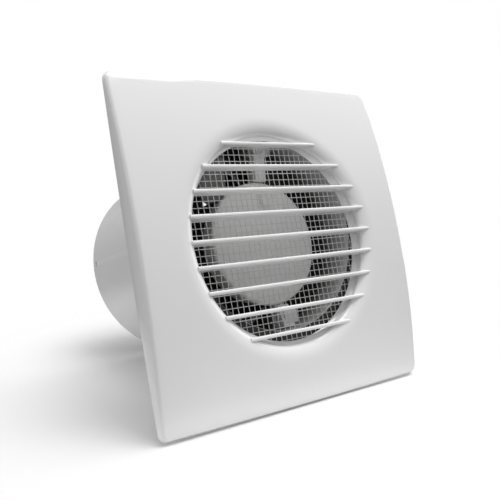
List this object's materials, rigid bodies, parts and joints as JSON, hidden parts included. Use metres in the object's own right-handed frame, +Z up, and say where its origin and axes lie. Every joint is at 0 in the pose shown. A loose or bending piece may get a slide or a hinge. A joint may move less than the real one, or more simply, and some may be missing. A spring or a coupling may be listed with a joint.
{
  "type": "extractor fan",
  "caption": "Wall extractor fan: square crowned cover with a round louvred recess and insect screen, motor pod, and a round duct spigot.",
  "frame": {"origin": "the duct's axis, in the plane of the wall that the flange lies on", "axes": "+X right as seen from the room, +Y into the wall along the duct, +Z up; the front faces -Y"},
  "size_m": [0.158, 0.112, 0.158],
  "materials": {
    "cover": "polished white moulding",
    "casing": "smooth white moulding",
    "inner_plastic": "satin light grey moulding",
    "dark_plastic": "satin charcoal moulding",
    "screen": "plain woven wire",
    "lamination": "stacked punchings",
    "winding": "enamelled copper wire",
    "steel": "zinc plated",
    "bronze": "sintered bronze and brass screws",
    "nylon": "natural nylon",
    "insulation": "flexible blue insulation"
  },
  "bodies": {
    "casing": {"duct_casing": "casing", "motor_bracket": "inner_plastic", "pod_cap": "inner_plastic", "cable_clamp": "inner_plastic", "motor_housing": "dark_plastic", "stator_core": "lamination", "coil_1": "winding", "coil_2": "winding", "coil_3": "winding", "coil_4": "winding", "end_bracket_front": "steel", "end_bracket_rear": "steel", "motor_screw_1": "steel", "motor_screw_2": "steel", "motor_nut_1": "steel", "motor_nut_2": "steel", "bracket_screw": "steel", "clamp_screw_1": "steel", "clamp_screw_2": "steel", "bush_front": "bronze", "bush_rear": "bronze", "terminal_screw_1": "bronze", "terminal_screw_2": "bronze", "terminal_screw_3": "bronze", "terminal_block": "nylon", "lead_1": "insulation", "lead_2": "insulation"},
    "rotating": {"impeller": "dark_plastic", "motor_shaft": "steel", "rotor": "lamination", "impeller_clip": "steel", "thrust_washer_front": "nylon", "thrust_washer_rear": "nylon"},
    "cover": {"front_cover": "cover", "screen_ring": "cover", "insect_screen": "screen"}
  },
  "joints": [
    {"name": "impeller_spin", "type": "hinge", "parent": "casing", "child": "rotating", "pos_m": [0, 0.06, 0], "axis": [0, 1, 0], "continuous": true},
    {"name": "cover_pull", "type": "slide", "parent": "casing", "child": "cover", "axis": [0, -1, 0], "range_m": [0, 0.04]}
  ]
}
